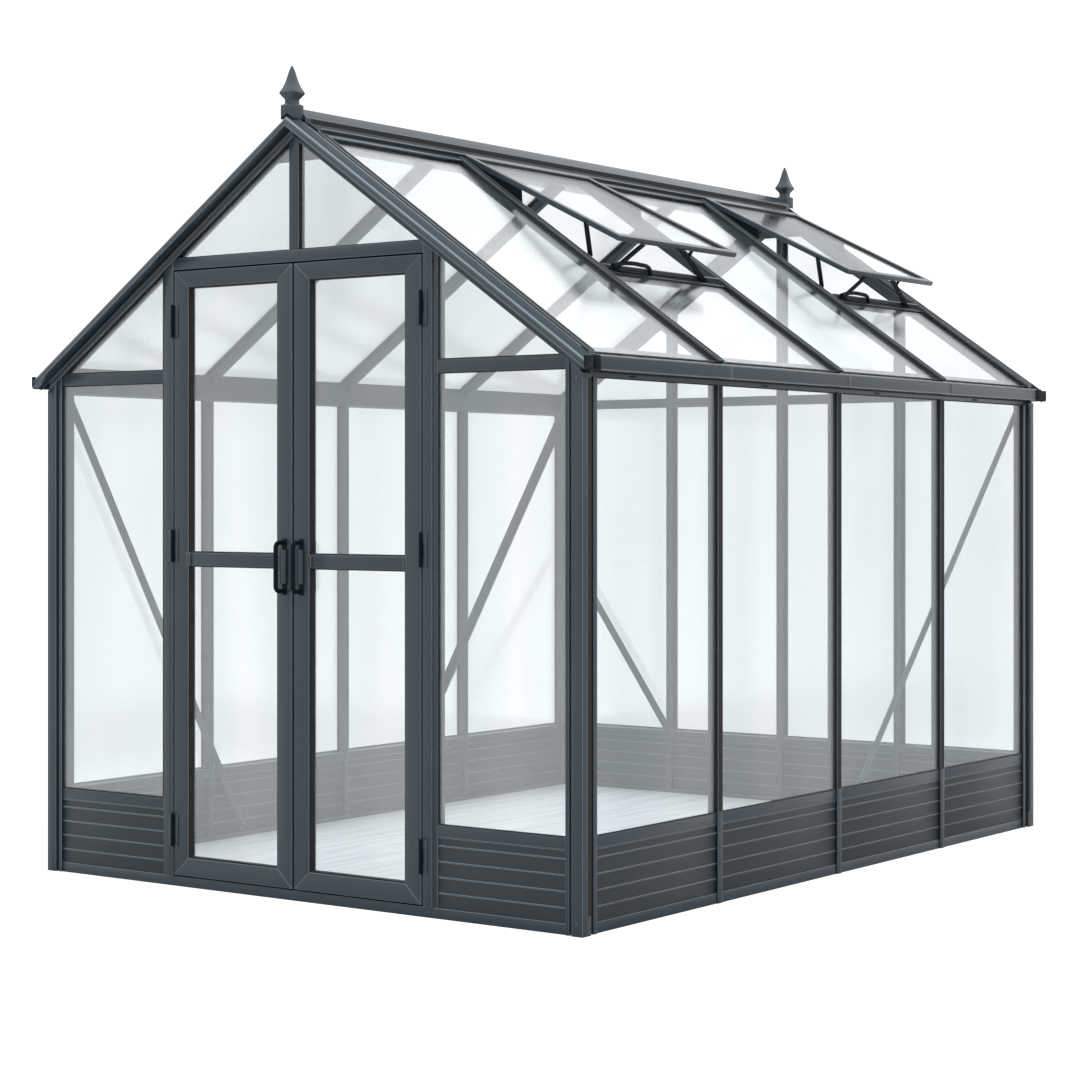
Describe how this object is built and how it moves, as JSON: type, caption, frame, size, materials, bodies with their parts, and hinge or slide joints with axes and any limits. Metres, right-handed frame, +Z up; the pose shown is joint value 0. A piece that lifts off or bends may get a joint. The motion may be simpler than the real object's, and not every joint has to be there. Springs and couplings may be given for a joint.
{
  "type": "glass greenhouse",
  "caption": "Apex-roofed glass greenhouse with boarded base panels, glazed walls and roof, hinged double doors in one gable and propped roof vents.",
  "frame": {"origin": "centre of the underside of the floor, at ground level", "axes": "+X to the side wall with the vented roof slope, +Y from the door gable to the back gable, +Z up"},
  "size_m": [2.268, 3.088, 2.598],
  "materials": {
    "frame": "satin powder coat",
    "boards": "satin powder coat",
    "glass": "clear toughened glass",
    "hardware": "satin black",
    "floor": "pale matt boards"
  },
  "bodies": {
    "house": {"base_rails": "frame", "front_boards": "boards", "back_boards": "boards", "left_boards": "boards", "right_boards": "boards", "sill_rails": "frame", "front_corner_posts": "frame", "back_corner_posts": "frame", "door_jambs": "frame", "door_header": "frame", "front_transoms": "frame", "front_king_post": "frame", "left_mullions": "frame", "right_mullions": "frame", "back_mullions": "frame", "back_transoms": "frame", "eaves_beams": "frame", "left_gutter": "frame", "right_gutter": "frame", "gutter_end_caps": "frame", "ridge": "frame", "left_rafters": "frame", "right_rafters": "frame", "vent_cross_bars": "frame", "front_verge": "frame", "back_verge": "frame", "apex_gussets": "frame", "front_finial": "frame", "back_finial": "frame", "front_glass": "glass", "back_glass": "glass", "left_glass": "glass", "right_glass": "glass", "left_roof_glass": "glass", "right_roof_glass": "glass", "vent_frames": "frame", "vent_glass": "glass", "vent_stays": "hardware", "wall_braces": "frame", "floor": "floor", "hinge_plates": "hardware"},
    "left_door": {"left_door_frame": "frame", "left_door_glass": "glass", "left_door_handle": "hardware", "left_door_hinges": "hardware"},
    "right_door": {"right_door_frame": "frame", "right_door_glass": "glass", "right_door_handle": "hardware", "right_door_hinges": "hardware"}
  },
  "joints": [
    {"name": "left_door_swing", "type": "hinge", "parent": "house", "child": "left_door", "pos_m": [-0.513, -1.5065, 0], "axis": [0, 0, -1], "range_deg": [0, 120]},
    {"name": "right_door_swing", "type": "hinge", "parent": "house", "child": "right_door", "pos_m": [0.513, -1.5065, 0], "axis": [0, 0, 1], "range_deg": [0, 120]}
  ]
}
